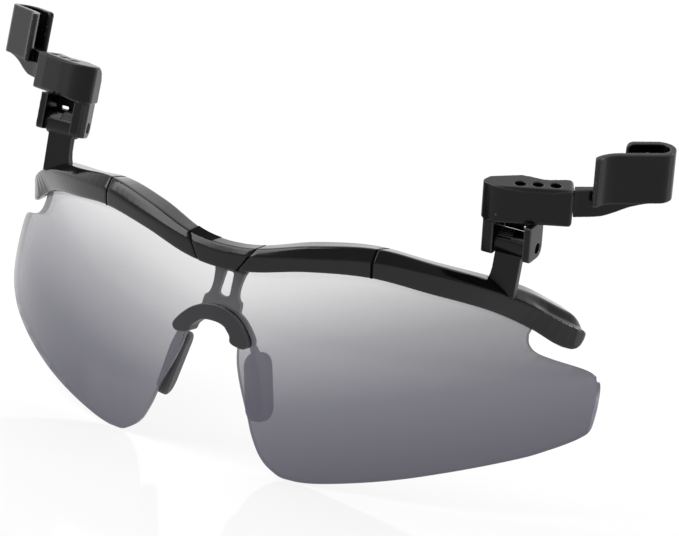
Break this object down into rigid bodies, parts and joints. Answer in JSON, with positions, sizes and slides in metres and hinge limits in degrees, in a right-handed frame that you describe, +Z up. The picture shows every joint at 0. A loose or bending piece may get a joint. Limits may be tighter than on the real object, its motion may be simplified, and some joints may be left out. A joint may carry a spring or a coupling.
{
  "type": "clip-on flip-up cap sunglasses",
  "caption": "Half-rim shield sunglasses without temples: one curved lens under a brow bar, flip-up hinges and sliding hooks that grip a cap brim's side edges.",
  "frame": {"origin": "on the flip axis, halfway between the two hinges", "axes": "+X to the viewer's right along the flip axis, +Y back towards the face, +Z up"},
  "size_m": [0.1714, 0.0482, 0.088],
  "materials": {
    "mirror_lens": "mirror-coated tinted polycarbonate",
    "frame_black": "gloss injection-moulded nylon",
    "clip_black": "semi-gloss injection-moulded nylon",
    "nose_black": "satin moulded nylon",
    "pad_rubber": "soft matt",
    "pin_steel": "blackened",
    "leaf_steel": "blackened spring strip"
  },
  "bodies": {
    "frame": {"lens_shield": "mirror_lens", "bridge_section": "frame_black", "brow_mid_left": "frame_black", "brow_mid_right": "frame_black", "brow_end_left": "frame_black", "brow_end_right": "frame_black", "stem_left": "clip_black", "stem_right": "clip_black", "nose_bridge": "nose_black", "nose_pad_left": "pad_rubber", "nose_pad_right": "pad_rubber"},
    "clip_left": {"clip_block_left": "clip_black", "detent_leaf_left": "leaf_steel", "hinge_pin_left": "pin_steel"},
    "clip_right": {"clip_block_right": "clip_black", "detent_leaf_right": "leaf_steel", "hinge_pin_right": "pin_steel"},
    "arm_left": {"slide_arm_left": "clip_black"},
    "arm_right": {"slide_arm_right": "clip_black"}
  },
  "joints": [
    {"name": "flip_left", "type": "hinge", "parent": "frame", "child": "clip_left", "pos_m": [-0.0573, 0, 0], "axis": [-1, 0, 0], "range_deg": [-23.7, 91.3]},
    {"name": "flip_right", "type": "hinge", "parent": "frame", "child": "clip_right", "pos_m": [0.0573, 0, 0], "axis": [-1, 0, 0], "range_deg": [-4, 111]},
    {"name": "extend_left", "type": "slide", "parent": "clip_left", "child": "arm_left", "axis": [-0.907, 0.4202, -0.0272], "range_m": [0, 0.0076]},
    {"name": "extend_right", "type": "slide", "parent": "clip_right", "child": "arm_right", "axis": [0.907, 0.4047, 0.1161], "range_m": [0, 0.0076]}
  ]
}
